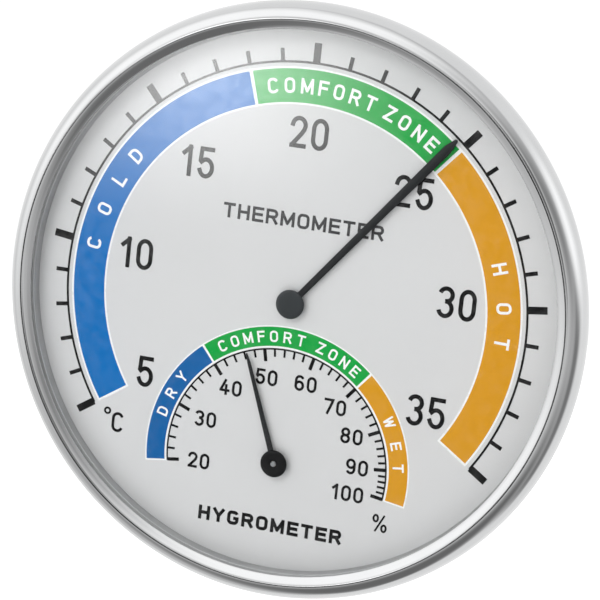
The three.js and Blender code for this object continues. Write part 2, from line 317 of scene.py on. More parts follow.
def piece(name, verts, faces, material, body, smooth=None, replaces=()):
    me = bpy.data.meshes.new(name)
    me.from_pydata([tuple(v) for v in verts], [], [tuple(f) for f in faces])
    me.validate()
    me.update()
    for m in material if isinstance(material, (list, tuple)) else [material]:
        me.materials.append(m)
    o = bpy.data.objects.new(name, me)
    scene.collection.objects.link(o)
    if smooth is not None:
        shade(o, smooth)
    if body:
        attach(o, body)
    if replaces:
        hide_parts(*replaces)
    return o


def shade(o, angle):
    """Smooth shading, with edges sharper than angle (degrees) left crisp."""
    me = o.data
    me.polygons.foreach_set("use_smooth", [True] * len(me.polygons))
    me.set_sharp_from_angle(angle=math.radians(angle))


def turned(points, segments=256, cx=0.0, cz=0.0):
    """Solid of revolution about the dial's axis from (radius, d) points in mm, closed on itself or on the axis."""
    area = sum(a[0] * b[1] - b[0] * a[1] for a, b in zip(points, points[1:] + points[:1]))
    if area > 0:
        points = points[::-1]
    held = []
    for a, b in zip(points, points[1:] + points[:1]):
        held.append(a)
        long = math.dist(a, b)
        if long > 0.5 and max(a[0], b[0]) > 1e-9:  # loops that keep a flat face flat up to its edge
            for t in (0.05 / long, 1 - 0.05 / long):
                held.append((a[0] + (b[0] - a[0]) * t, a[1] + (b[1] - a[1]) * t))
    points = [q for i, q in enumerate(held) if not (q[0] < 0.06 and q[0] > 1e-9)]
    verts, rings, faces = [], [], []
    for r, d in points:
        if r < 1e-9:
            rings.append([len(verts)])
            verts.append((cx * MM, -d * MM, cz * MM))
        else:
            rings.append(list(range(len(verts), len(verts) + segments)))
            for i in range(segments):
                a = 2 * math.pi * i / segments
                verts.append(((cx + r * math.cos(a)) * MM, -d * MM, (cz + r * math.sin(a)) * MM))
    n = len(points)
    for k in range(n):
        p, q = rings[k], rings[(k + 1) % n]
        if len(p) == 1 and len(q) == 1:
            continue
        for i in range(segments):
            j = (i + 1) % segments
            if len(p) == 1:
                faces.append((p[0], q[i], q[j]))
            elif len(q) == 1:
                faces.append((p[i], q[0], p[j]))
            else:
                faces.append((p[i], q[i], q[j], p[j]))
    return verts, faces


def smooth_profile(points, steps=5):
    """Catmull-Rom through the points, keeping the first and last."""
    out = []
    p = [points[0]] + list(points) + [points[-1]]
    for i in range(1, len(p) - 2):
        for s in range(steps):
            t = s / steps
            out.append(
                tuple(
                    0.5
                    * (
                        2 * p[i][k]
                        + (p[i + 1][k] - p[i - 1][k]) * t
                        + (2 * p[i - 1][k] - 5 * p[i][k] + 4 * p[i + 1][k] - p[i + 2][k]) * t * t
                        + (3 * p[i][k] - p[i - 1][k] - 3 * p[i + 1][k] + p[i + 2][k]) * t**3
                    )
                    for k in (0, 1)
                )
            )
    out.append(tuple(points[-1]))
    return out


def clusters(polygons):
    """Polygons sorted into groups whose boxes touch, so that each letter is joined up on its own."""
    boxes = [(min(x for x, _ in p), max(x for x, _ in p), min(z for _, z in p), max(z for _, z in p)) for p in polygons]
    group = list(range(len(polygons)))

    def root(i):
        while group[i] != i:
            group[i] = group[group[i]]
            i = group[i]
        return i

    for i, a in enumerate(boxes):
        for j in range(i):
            b = boxes[j]
            if a[0] <= b[1] and b[0] <= a[1] and a[2] <= b[3] and b[2] <= a[3]:
                group[root(i)] = root(j)
    out = {}
    for i, p in enumerate(polygons):
        out.setdefault(root(i), []).append(p)
    return list(out.values())


def flat(polygons, d0, d1):
    """Closed solids from d0 to d1 whose outline is the union of flat polygons, given in mm on the dial as (x, z)."""
    verts, made = [], []
    for some in clusters(polygons):
        count = sum(len(p) for p in some)
        mx, mz = sum(x for p in some for x, _ in p) / count, sum(z for p in some for _, z in p) / count
        co, index, faces = [], {}, []
        for poly in some:
            face = []
            for x, z in poly:
                key = (round(x - mx, 4), round(z - mz, 4))
                if key not in index:
                    index[key] = len(co)
                    co.append(Vector(key))
                if not face or face[-1] != index[key]:
                    face.append(index[key])
            if len(face) > 1 and face[0] == face[-1]:
                face.pop()
            if len(face) > 2:
                turn_ = sum(co[i].cross(co[j]) for i, j in zip(face, face[1:] + face[:1]))
                if abs(turn_) > 1e-9:
                    faces.append(face if turn_ > 0 else face[::-1])
        out, _, tris, _, _, inside = delaunay_2d_cdt(co, [], faces, 1, 1e-5)
        tris = [t for t, within in zip(tris, inside) if within]
        n, base = len(out), len(verts)
        verts += [((v.x + mx) * MM, -d1 * MM, (v.y + mz) * MM) for v in out]
        verts += [((v.x + mx) * MM, -d0 * MM, (v.y + mz) * MM) for v in out]
        edges = {}
        for t in tris:
            a, b, c = (out[i] for i in t)
            if (b - a).cross(c - a) < 0:
                t = t[::-1]
            made.append(tuple(base + i for i in t))
            made.append(tuple(base + i + n for i in reversed(t)))
            for i, j in zip(t, list(t[1:]) + [t[0]]):
                edges[(i, j)] = True
        for i, j in list(edges):
            if (j, i) not in edges:
                made.append((base + j, base + i, base + i + n, base + j + n))
    used = sorted({i for f in made for i in f})
    new = {old: k for k, old in enumerate(used)}
    return [verts[i] for i in used], [tuple(new[i] for i in f) for f in made]


def polar(angle, r, cx=0.0, cz=0.0):
    """Point at an angle clockwise from straight up."""
    a = math.radians(angle)
    return (cx + r * math.sin(a), cz + r * math.cos(a))


def sector(r0, r1, a0, a1, cz=0.0, step=1.0):
    """Quads of a band of arc."""
    n = max(1, math.ceil(abs(a1 - a0) / step))
    out = []
    for i in range(n):
        p, q = a0 + (a1 - a0) * i / n, a0 + (a1 - a0) * (i + 1) / n
        out.append([polar(p, r0, 0, cz), polar(q, r0, 0, cz), polar(q, r1, 0, cz), polar(p, r1, 0, cz)])
    return out


def tick(angle, r0, r1, width, cz=0.0):
    a = math.radians(angle)
    ux, uz, w = math.sin(a), math.cos(a), width / 2
    return [
        (ux * r0 - uz * w, cz + uz * r0 + ux * w),
        (ux * r1 - uz * w, cz + uz * r1 + ux * w),
        (ux * r1 + uz * w, cz + uz * r1 - ux * w),
        (ux * r0 + uz * w, cz + uz * r0 - ux * w),
    ]


# ---- letters and figures, drawn as strokes -------------------------------------------------


def bow(cx, cy, rx, ry, a0, a1, n=14):
    """Points of an ellipse's arc, angles in degrees anticlockwise from +x."""
    return [
        (cx + rx * math.cos(math.radians(a0 + (a1 - a0) * i / n)), cy + ry * math.sin(math.radians(a0 + (a1 - a0) * i / n)))
        for i in range(n + 1)
    ]


def glyph(ch, w):
    """(strokes, width). A stroke is (points, closed), on the lines' middles, with height 1 and width w."""
    h = w / 2
    r = min(h, 0.28)
    k = 0.30  # height of a round end
    oval = bow(h, 1 - k, h, k, 0, 180) + bow(h, k, h, k, 180, 360)
    g = {
        "0": ([(oval, True)], w),
        "O": ([(bow(w - r, 1 - r, r, r, 0, 90, 8) + bow(r, 1 - r, r, r, 90, 180, 8) + bow(r, r, r, r, 180, 270, 8) + bow(w - r, r, r, r, 270, 360, 8), True)], w),
        "1": ([([(h * 0.95, 0 - 0.0), (h * 0.95, 1)], False), ([(h * 0.95, 0.985), (0.0, 0.77)], False)], w * 0.62),
        "2": ([(bow(h, 0.73, h, 0.27, 172, 0, 16) + [(w * 0.93, 0.60), (w * 0.78, 0.47), (0.02, 0.0), (w, 0.0)], False)], w),
        "3": ([(bow(h, 0.765, h * 0.96, 0.235, 165, -62, 16) + [(h * 0.9, 0.535)], False), ([(h * 0.9, 0.535)] + bow(h, 0.27, h, 0.27, 70, -165, 18), False)], w),
        "4": ([([(w * 0.60, 1.0), (0.0, 0.25), (w * 1.08, 0.25)], False), ([(w * 0.74, 0.62), (w * 0.74, 0.0)], False)], w * 1.05),
        "5": ([([(w * 0.95, 1.0), (w * 0.10, 1.0), (w * 0.05, 0.60)], False), ([(w * 0.12, 0.52)] + bow(h, 0.31, h, 0.31, 118, -160, 18), False)], w),
        "6": ([(bow(h, 0.70, h, 0.30, 28, 180, 12) + bow(h, 0.30, h, 0.30, 180, 360, 14) + bow(h, 0.30, h, 0.29, 0, 176, 12), False)], w),
        "7": ([([(0.0, 1.0), (w, 1.0), (w * 0.86, 0.72), (w * 0.36, 0.0)], False)], w),
        "8": ([(bow(h, 0.76, h * 0.9, 0.24, 0, 360, 22)[:-1], True), (bow(h, 0.265, h, 0.265, 0, 360, 22)[:-1], True)], w),
        "9": ([(bow(h, 0.30, h, 0.30, 208, 360, 12) + bow(h, 0.70, h, 0.30, 0, 180, 14) + bow(h, 0.70, h, 0.29, 180, 356, 12), False)], w),
        "C": ([(bow(w - r, 1 - r, r, r, 18, 90, 7) + bow(r, 1 - r, r, r, 90, 180, 8) + bow(r, r, r, r, 180, 270, 8) + bow(w - r, r, r, r, 270, 342, 7), False)], w),
        "G": ([(bow(w - r, 1 - r, r, r, 25, 90, 7) + bow(r, 1 - r, r, r, 90, 180, 8) + bow(r, r, r, r, 180, 270, 8) + bow(w - r, r, r, r, 270, 360, 7) + [(w, 0.46), (w * 0.54, 0.46)], False)], w),
        "D": ([([(0, 0), (0, 1)] + bow(w - 0.36, 1 - 0.36, 0.36, 0.36, 90, 0, 9) + bow(w - 0.36, 0.36, 0.36, 0.36, 0, -90, 9), True)], w),
        "L": ([([(0, 1), (0, 0), (w * 0.9, 0)], False)], w * 0.88),
        "M": ([([(0, 0), (0, 1), (w * 0.62, 0.12), (w * 1.24, 1), (w * 1.24, 0)], False)], w * 1.24),
        "F": ([([(w * 0.92, 1), (0, 1), (0, 0)], False), ([(0, 0.52), (w * 0.8, 0.52)], False)], w * 0.86),
        "E": ([([(w * 0.94, 1), (0, 1), (0, 0), (w * 0.94, 0)], False), ([(0, 0.51), (w * 0.84, 0.51)], False)], w * 0.9),
        "R": ([([(0, 0), (0, 1)] + bow(w - 0.265, 0.735, 0.265, 0.265, 90, -90, 10) + [(0, 0.47)], False), ([(w * 0.58, 0.47), (w * 1.0, 0.0)], False)], w),
        "T": ([([(0, 1), (w, 1)], False), ([(h, 0.96), (h, 0)], False)], w),
        "Z": ([([(0.02, 1), (w * 0.98, 1), (0.0, 0), (w, 0)], False)], w),
        "N": ([([(0, 0), (0, 1), (w, 0), (w, 1)], False)], w),
        "H": ([([(0, 0), (0, 1)], False), ([(w, 0), (w, 1)], False), ([(0, 0.51), (w, 0.51)], False)], w),
        "Y": ([([(0, 1), (h, 0.44), (w, 1)], False), ([(h, 0.46), (h, 0)], False)], w),
        "W": ([([(0, 1), (w * 0.32, 0), (w * 0.64, 0.92), (w * 0.96, 0), (w * 1.28, 1)], False)], w * 1.28),
        " ": ([], w * 0.45),
    }
    return g[ch]


# strokes that end at the top or bottom line are drawn out by half a stroke so that every capital has one height
SQUARE_ENDS = set("17LMFERTZNHYWD425")


def stroke_quads(points, closed, half, square):
    """A line's quads. It is cut at sharp corners, where only an upright or level side is drawn out to the corner's edge."""
    p = [Vector(q) for q in points]
    clean = [p[0]]
    for q in p[1:]:
        if (q - clean[-1]).length > 1e-5:
            clean.append(q)
    if closed and (clean[0] - clean[-1]).length < 1e-5:
        clean.pop()
    p = clean
    if closed:
        return ribbon(p, True, half, False, False)
    upright = lambda i: min(abs(p[i + 1].x - p[i].x), abs(p[i + 1].y - p[i].y)) < 1e-6
    last = len(p) - 1
    cuts = [0] + [i for i in range(1, last) if (p[i] - p[i - 1]).normalized().dot((p[i + 1] - p[i]).normalized()) < -0.3] + [last]
    out = []
    for a, b in zip(cuts, cuts[1:]):
        out += ribbon(p[a : b + 1], False, half, square if a == 0 else upright(a), square if b == last else upright(b - 1))
        if b < last and not upright(b - 1) and not upright(b):
            out.append([tuple(p[b] + 1.04 * half * Vector((math.cos(t * math.pi / 8), math.sin(t * math.pi / 8)))) for t in range(16)])
    return out


def ribbon(p, closed, half, square_start, square_end):
    p = [q.copy() for q in p]
    first, final = (p[0] - p[1]).normalized() * half, (p[-1] - p[-2]).normalized() * half
    if square_start:
        p[0] = p[0] + first
    if square_end:
        p[-1] = p[-1] + final
    n = len(p)
    left, right = [], []
    for i in range(n):
        a = p[i - 1] if (closed or i) else None
        b = p[(i + 1) % n] if (closed or i < n - 1) else None
        d0 = (p[i] - a).normalized() if a is not None else None
        d1 = (b - p[i]).normalized() if b is not None else None
        d0, d1 = d0 if d0 is not None else d1, d1 if d1 is not None else d0
        n0, n1 = Vector((-d0.y, d0.x)), Vector((-d1.y, d1.x))
        m = n0 + n1
        m = m.normalized() if m.length > 1e-6 else n0
        s = half / max(m.dot(n0), 0.5)
        left.append(p[i] + m * s)
        right.append(p[i] - m * s)
    out = []
    for i in range(n if closed else n - 1):
        j = (i + 1) % n
        out.append([tuple(left[i]), tuple(left[j]), tuple(right[j]), tuple(right[i])])
    return out


def glyph_quads(ch, height, width, stroke):
    """Quads of one glyph whose outline is height tall and width wide, with its lower left corner at 0, 0."""
    t = stroke
    mid = height - t
    strokes, w = glyph(ch, (width - t) / mid)
    out = []
    for points, closed in strokes:
        pts = [(x * mid + t / 2, y * mid + t / 2) for x, y in points]
        out += stroke_quads(pts, closed, t / 2, ch in SQUARE_ENDS and not closed)
    return out, w * mid + (t if strokes else 0)


def placed(quads, x, z, angle=0.0):
    """Quads turned clockwise by angle and moved so that 0, 0 lands on x, z."""
    a = -math.radians(angle)
    c, s = math.cos(a), math.sin(a)
    return [[(x + px * c - pz * s, z + px * s + pz * c) for px, pz in q] for q in quads]


def line_of(text, height, width, stroke, gap, cx, cz, total=None):
    """A line of text centred on cx, cz. With total, its gaps are set so that it is that wide."""
    made = [glyph_quads(ch, height, width, stroke) for ch in text]
    natural = sum(w for _, w in made)
    if total is not None and len(text) > 1:
        gap = (total - natural) / (len(text) - 1)
    x = cx - (natural + gap * (len(text) - 1)) / 2
    out = []
    for quads, w in made:
        out += placed(quads, x, cz - height / 2)
        x += w + gap
    return out


def round_the_arc(letters, r_mid, height, width, stroke, cz=0.0):
    """Letters set one by one round an arc, their tops outwards. letters is [(letter, angle)]."""
    out = []
    for ch, angle in letters:
        quads, w = glyph_quads(ch, height, width, stroke)
        quads = [[(px - w / 2, pz - height / 2) for px, pz in q] for q in quads]
        x, z = polar(angle, r_mid, 0, cz)
        out += placed(quads, x, z, angle)
    return out


U = 52.0  # radius of the temperature scale's line
PX = 52.0 / 592.6


def printed(name, polygons, material, low, high):
    v, f = flat(polygons, DIAL + low, DIAL + high)
    return piece(name, v, f, material, "case")


def at(px, py):
    """A place on the dial, in mm from its middle."""
    return ((px - 800) * PX, (800 - py) * PX)


# ---- dial ---------------------------------------------------------------------------------------
def dial_profile():
    b, f, R = DIAL - 0.6, DIAL, 60.6
    return [(1.75, b), (R - 0.1, b), (R, b + 0.1), (R, f - 0.12), (R - 0.05, f - 0.04), (R - 0.14, f), (1.75, f)]


def build_dial():
    """A disc with a pierced hole for each staff."""
    seg = 256
    outer = [polar(-360 * i / seg, 60.6) for i in range(seg)]
    ring = lambda r, cz, n=48: [polar(-360 * i / n, r, 0, cz) for i in range(n)]
    holes = [ring(1.6, 0), ring(1.6, HYGRO_Z)]
    co, edges = [], []
    for loop in [outer] + holes:
        s = len(co)
        co += [Vector(p) for p in loop]
        edges += [(s + i, s + (i + 1) % len(loop)) for i in range(len(loop))]
    out, _, tris, _, _, _ = delaunay_2d_cdt(co, edges, [], 2, 1e-6)
    n = len(out)
    verts = [(v.x * MM, -DIAL * MM, v.y * MM) for v in out] + [(v.x * MM, -(DIAL - 0.6) * MM, v.y * MM) for v in out]
    faces, directed = [], set()
    for t in tris:
        a, b, c = (out[i] for i in t)
        if any(all((p - Vector((0, z))).length < 1.61 for p in (a, b, c)) for z in (0, HYGRO_Z)):
            continue
        if (b - a).cross(c - a) < 0:
            t = t[::-1]
        faces += [tuple(t), tuple(i + n for i in reversed(t))]
        directed |= {(i, j) for i, j in zip(t, list(t[1:]) + [t[0]])}
    for i, j in directed:
        if (j, i) not in directed:
            faces.append((j, i, i + n, j + n))
    return piece("dial_face", verts, faces, DIAL_METAL, "case", 30, ["dial_plate"])


build_dial()

# temperature scale: 8.25 degrees of arc for each degree C, 20 at the top
temp = lambda c: (c - 20) * 8.25
scale = sector(U - 0.24, U + 0.24, temp(5) - 0.3, temp(35) + 0.3)
for c in range(5, 36):
    if c % 5 == 0:
        scale.append(tick(temp(c), U, U * 1.083, 1.62))
    else:
        scale.append(tick(temp(c), U, U * 1.055, 0.88))
printed("temperature_scale_print", scale, INK_BLACK, 0.0, 0.04)

for name, ink_, a, b in (("cold", INK_BLUE, 5, 18), ("comfort", INK_GREEN, 18, 25), ("hot", INK_ORANGE, 25, 35)):
    lo, hi = temp(a) + (0.0 if a == 5 else 0.45), temp(b) - (0.0 if b == 35 else 0.45)
    printed(f"temperature_band_{name}", sector(43.35, 50.55, lo, hi), ink_, 0.0, 0.035)
printed("temperature_band_edge", sector(42.93, 50.97, temp(5) - 0.6, temp(35) + 0.6), INK_WHITE, 0.0, 0.018)

letters = [("C", -82.3), ("O", -72.5), ("L", -63.4), ("D", -55.3), ("H", 72), ("O", 82.3), ("T", 91.4)]
letters += list(zip("COMFORT", (-11.2, -6.6, -1.8, 2.6, 6.9, 11.4, 15.8))) + list(zip("ZONE", (21.6, 26.1, 30.7, 35.1)))
printed("temperature_band_words", round_the_arc(letters, 46.95, 3.3, 2.38, 0.58), INK_WHITE, 0.0, 0.055)

figures = []
for text, px, py in (("5", 437, 1032), ("10", 385, 738), ("15", 523, 487), ("20", 800, 378), ("25", 1077, 483), ("30", 1213, 735), ("35", 1167, 1010)):
    figures += line_of(text, 6.85, 3.8, 0.94, 1.0, *at(px, py))
printed("temperature_figures", figures, INK_BLACK, 0.0, 0.04)
cx, cz = at(373, 1170)
unit = [q for q in placed(stroke_quads([(0.62 * math.cos(t / 9 * math.pi), 0.62 * math.sin(t / 9 * math.pi)) for t in range(18)], True, 0.23, False), cx - 2.35, cz + 2.0)]
quads, w = glyph_quads("C", 4.5, 2.75, 0.64)
unit += placed(quads, cx - 1.15, cz - 2.5)
printed("temperature_unit", unit, INK_BLACK, 0.0, 0.04)
printed("thermometer_word", line_of("THERMOMETER", 3.25, 2.68, 0.62, 0.6, *at(807, 594), total=36.2), INK_GREY, 0.0, 0.04)

# humidity scale: its marks draw together towards 100
HUM = {20: -98.1, 30: -68.4, 40: -39.6, 50: -11.55, 60: 14.5, 70: 40.15, 80: 64.4, 90: 83.8, 100: 98.7}


def hum(h):
    """Angle for a humidity, smooth through the marks."""
    k = min(int(h // 10) * 10, 90)
    a, b = HUM[k], HUM[k + 10]
    before = HUM.get(k - 10, 2 * a - b)
    after = HUM.get(k + 20, 2 * b - a)
    t = (h - k) / 10
    return 0.5 * (2 * a + (b - before) * t + (2 * before - 5 * a + 4 * b - after) * t * t + (3 * a - before - 3 * b + after) * t**3)


RH = 0.482 * U
scale = sector(RH - 0.17, RH + 0.17, hum(20) - 0.5, hum(100) + 0.5, HYGRO_Z)
for h in range(20, 101, 2):
    if h % 10 == 0:
        scale.append(tick(hum(h), U * 0.430, RH, 0.76, HYGRO_Z))
    else:
        scale.append(tick(hum(h), U * 0.449, RH, 0.48, HYGRO_Z))
printed("humidity_scale_print", scale, INK_BLACK, 0.0, 0.04)
for name, ink_, a, b in (("dry", INK_DEEP_BLUE, 20, 40), ("comfort", INK_GREEN, 40, 70), ("wet", INK_ORANGE, 70, 100)):
    lo, hi = hum(a) + (0.0 if a == 20 else 0.5), hum(b) - (0.0 if b == 100 else 0.5)
    printed(f"humidity_band_{name}", sector(0.4945 * U, 0.5755 * U, lo, hi, HYGRO_Z), ink_, 0.0, 0.035)
printed("humidity_band_edge", sector(0.4875 * U, 0.5815 * U, hum(20) - 0.75, hum(100) + 0.75, HYGRO_Z), INK_WHITE, 0.0, 0.018)
letters = [("D", -75.4), ("R", -66), ("Y", -56.7), ("W", 61.6), ("E", 72.6), ("T", 82.5)]
letters += list(zip("COMFORT", (-31.7, -25.4, -18.9, -12.7, -6.6, -0.2, 6.2))) + list(zip("ZONE", (15.8, 22.0, 28.2, 34.3)))
printed("humidity_band_words", round_the_arc(letters, 0.535 * U, 2.48, 1.83, 0.43, HYGRO_Z), INK_WHITE, 0.0, 0.055)

figures = []
for text, px, py in (("20", 600, 1233), ("30", 607, 1125), ("40", 665, 1035), ("50", 755, 993), ("60", 857, 993), ("70", 938, 1038), ("80", 988, 1103), ("90", 1010, 1178), ("100", 993, 1247)):
    figures += line_of(text, 3.5, 2.2, 0.57, 0.58, *at(px, py))
printed("humidity_figures", figures, INK_BLACK, 0.0, 0.04)
cx, cz = at(1083, 1307)
unit = []
for sx, sz in ((-0.98, 1.02), (0.98, -1.02)):
    unit += stroke_quads([(cx + sx + 0.5 * math.cos(t / 9 * math.pi), cz + sz + 0.72 * math.sin(t / 9 * math.pi)) for t in range(18)], True, 0.23, False)
unit += stroke_quads([(cx - 0.95, cz - 1.9), (cx + 0.95, cz + 1.9)], False, 0.21, False)
printed("humidity_unit", unit, INK_BLACK, 0.0, 0.04)
printed("hygrometer_word", line_of("HYGROMETER", 3.15, 2.68, 0.74, 0.6, *at(801, 1362), total=33.0), INK_BLACK, 0.0, 0.04)

# ---- bezel, window, seal and spacer -----------------------------------------------------------------
S = 0.7
outer = smooth_profile(
    [(59.3, 20.35), (59.55, 20.55), (60.1, 20.87), (61.2, 21.2), (62.4, 21.0), (63.5, 20.25), (64.3, 19.1), (64.8, 17.7), (65.0, 16.2), (64.8, 14.9), (64.1, 13.9), (63.1, 13.4), (62.2, 13.3)], 6
)
inner = smooth_profile(
    [(62.0, 14.0), (62.9, 14.05), (63.6, 14.4), (64.1, 15.15), (64.3, 16.2), (64.1, 17.5), (63.65, 18.75), (63.0, 19.7), (62.1, 20.3), (61.2, 20.46), (60.2, 20.02), (59.45, 19.98)], 4
)
hook = [(61.45, 13.32), (61.25, 13.42), (61.2, 13.62), (61.24, 13.84), (61.4, 13.97)]
lip = [(59.33, 20.05)]
outer = [(r, min(d, 21.2)) for r, d in outer]
v, f = turned(outer + hook + inner + lip, 320)
piece("bezel", v, f, STEEL, "case", 50, ["bezel_ring"])

v, f = turned([(0, 18.7), (60.1, 18.7), (60.45, 18.78), (60.6, 18.95), (60.6, 19.65), (60.45, 19.82), (60.1, 19.9), (0, 19.9)], 256)
piece("window", v, f, GLASS, "case", 50, ["lens"])
v, f = turned([(59.3, 18.22), (60.7, 18.22), (60.74, 18.3), (60.74, 18.58), (60.7, 18.65), (59.3, 18.65), (59.26, 18.58), (59.26, 18.3)], 256)
piece("window_seal", v, f, RUBBER, "case", 50, ["lens_gasket"])
v, f = turned([(58.85, DIAL + 0.06), (60.85, DIAL + 0.06), (60.88, DIAL + 0.1), (60.88, 18.12), (60.84, 18.16), (59.36, 18.16), (59.3, 18.1), (58.82, DIAL + 0.12)], 256)
piece("inner_rim", v, f, RING, "case", 40, ["spacer_ring"])

# ---- pointers -----------------------------------------------------------------------------------------


def hand(name, body, cz, rest, widths, tip, hub_r, node, d0=17.3, d1=17.6):
    """A flat hand with rolled edges, its hub seat round, turned to its reading. widths are (radius, full width)."""
    edge = 0.09
    right = [(w / 2, r) for r, w in widths]
    first = right[0]
    a = math.degrees(math.asin(first[0] / hub_r))
    seat = [(hub_r * math.sin(math.radians(t)), hub_r * math.cos(math.radians(t))) for t in np.linspace(a, 360 - a, 41)]
    blunt = right[-1][0] * 0.4
    blade = [(0.0, tip), (blunt, tip - blunt * 0.7)]
    right_side = [(x, z) for x, z in reversed(right)]
    loop = blade + right_side + seat[1:-1] + [(-x, z) for x, z in right] + [(-blunt, tip - blunt * 0.7)]
    # loop runs clockwise from the tip
    loop = [Vector(p) for p in loop]
    n = len(loop)

    def inset(t):
        out = []
        for i in range(n):
            p, q, s = loop[i - 1], loop[i], loop[(i + 1) % n]
            d0_, d1_ = (q - p).normalized(), (s - q).normalized()
            n0, n1 = Vector((d0_.y, -d0_.x)), Vector((d1_.y, -d1_.x))
            m = (n0 + n1).normalized()
            out.append(q + m * min(t / max(m.dot(n0), 0.2), 3.2 * t))
        return out

    levels = [(inset(edge), d0), (inset(0), d0 + edge * 0.8), (inset(0), d1 - edge), (inset(edge * 0.35), d1 - edge * 0.35), (inset(edge), d1)]
    hole = [(0.86 * math.sin(2 * math.pi * i / 32), 0.86 * math.cos(2 * math.pi * i / 32)) for i in range(32)]
    ang = math.radians(rest)
    c, s_ = math.cos(ang), math.sin(ang)

    def world(p, d):
        x, z = p[0], p[1]
        return ((x * c + z * s_) * MM, -d * MM, (cz + z * c - x * s_) * MM)

    verts, faces = [], []
    for pts, d in levels:
        verts += [world(p, d) for p in pts]
    for k in range(len(levels) - 1):
        for i in range(n):
            j = (i + 1) % n
            faces.append((k * n + i, k * n + j, (k + 1) * n + j, (k + 1) * n + i))
    for level, flip in ((0, False), (len(levels) - 1, True)):
        pts, d = levels[level]
        co = [Vector(p) for p in pts] + [Vector(p) for p in hole]
        edges = [(i, (i + 1) % n) for i in range(n)] + [(n + i, n + (i + 1) % 32) for i in range(32)]
        out, _, tris, _, _, _ = delaunay_2d_cdt(co, edges, [], 2, 1e-7)
        base = len(verts)
        verts += [world(p, d) for p in out[n:]]
        name_of = lambda i: level * n + i if i < n else base + (i - n)
        if level == 0:
            back_hole = [base + i for i in range(32)]
        else:
            front_hole = [base + i for i in range(32)]
        for t in tris:
            if min(t) >= n:  # inside the hole
                continue
            if ((out[t[1]] - out[t[0]]).cross(out[t[2]] - out[t[0]]) > 0) != flip:
                t = t[::-1]
            faces.append(tuple(name_of(i) for i in t))
    for i in range(32):
        j = (i + 1) % 32
        faces.append((front_hole[i], front_hole[j], back_hole[j], back_hole[i]))
    o = piece(name, verts, faces, HAND_BLACK, body, None, [node])
    fix_normals(o)
    shade(o, 35)
    return o


def fix_normals(o):
    import bmesh

    bm = bmesh.new()
    bm.from_mesh(o.data)
    bmesh.ops.remove_doubles(bm, verts=bm.verts, dist=1e-8)
    bmesh.ops.recalc_face_normals(bm, faces=bm.faces)
    bm.to_mesh(o.data)
    bm.free()


THERMO_REST, HYGRO_REST = 39.0, -20.6
hand("temperature_pointer", "thermo_needle", 0, THERMO_REST, [(2.42, 1.42), (20.0, 1.6), (44.0, 1.98), (49.0, 1.92)], 51.9, 2.5, "thermo_pointer")
hand("humidity_pointer", "hygro_needle", HYGRO_Z, HYGRO_REST, [(2.25, 1.3), (12.0, 1.04), (22.6, 0.76)], 24.8, 2.4, "hygro_pointer")

v, f = turned(
    smooth_profile([(0, 18.15), (1.6, 18.145), (2.55, 18.10), (2.95, 17.98), (3.14, 17.82), (3.18, 17.7)], 4) + [(3.16, 17.66), (3.1, 17.65), (0.64, 17.65), (0.64, 17.86), (0, 17.86)], 96
)
piece("temperature_hub", v, f, HUB_GREY, "thermo_needle", 40, ["thermo_pointer_hub"])
v, f = turned(
    [(0.64, 17.65), (2.92, 17.65), (2.98, 17.67)] + smooth_profile([(3.0, 17.72), (2.94, 17.86), (2.74, 18.03), (2.4, 18.13), (1.9, 18.15), (1.2, 18.15), (0.92, 18.12), (0.78, 18.04), (0.66, 17.95)], 4), 96, 0, HYGRO_Z
)
piece("humidity_hub", v, f, HUB_BLACK, "hygro_needle", 40, ["hygro_pointer_hub"])

# ---- coils -------------------------------------------------------------------------------------------------


def coil(name, node, cz, r1, turns, material):
    """The strip wound from the collet to the regulator's tab. It winds evenly along its length from one end to the
    other."""
    r0, strip, d0, d1, n = 2.25, 0.34, 8.32, 11.28, int(turns * 56)
    edge = 0.06
    section = [(-1, d0 + edge), (-1, d1 - edge), (-0.7, d1), (0.7, d1), (1, d1 - edge), (1, d0 + edge), (0.7, d0), (-0.7, d0)]
    verts, faces, share = [], [], []
    for i in range(n + 1):
        u = i / n
        r, a = r0 + (r1 - r0) * u, math.pi / 2 - (1 - u) * turns * 2 * math.pi
        for k, d in section:
            q = r + k * strip / 2
            verts.append((q * math.cos(a) * MM, -d * MM, (cz + q * math.sin(a)) * MM))
            length = (r1**2 - r**2) / (r1**2 - r0**2)
            share.append(length)
    m = len(section)
    for i in range(n):
        for k in range(m):
            j = (k + 1) % m
            faces.append((i * m + k, i * m + j, (i + 1) * m + j, (i + 1) * m + k))
    faces.append(tuple(range(m)))
    faces.append(tuple(reversed(range(n * m, n * m + m))))
    o = piece(name, verts, faces, material, None, None, [node])
    import bmesh

    bm = bmesh.new()
    bm.from_mesh(o.data)
    bmesh.ops.recalc_face_normals(bm, faces=bm.faces)
    bm.to_mesh(o.data)
    bm.free()
    shade(o, 40)
    o.data.update()
    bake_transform(o)
    return o


coil("temperature_coil", "thermo_coil", 0.0, 10.6, 7.0, BIMETAL)
coil("humidity_coil", "hygro_coil", HYGRO_Z, 8.2, 5.5, SENSING)

# ---- rear shell ---------------------------------------------------------------------------------------------------


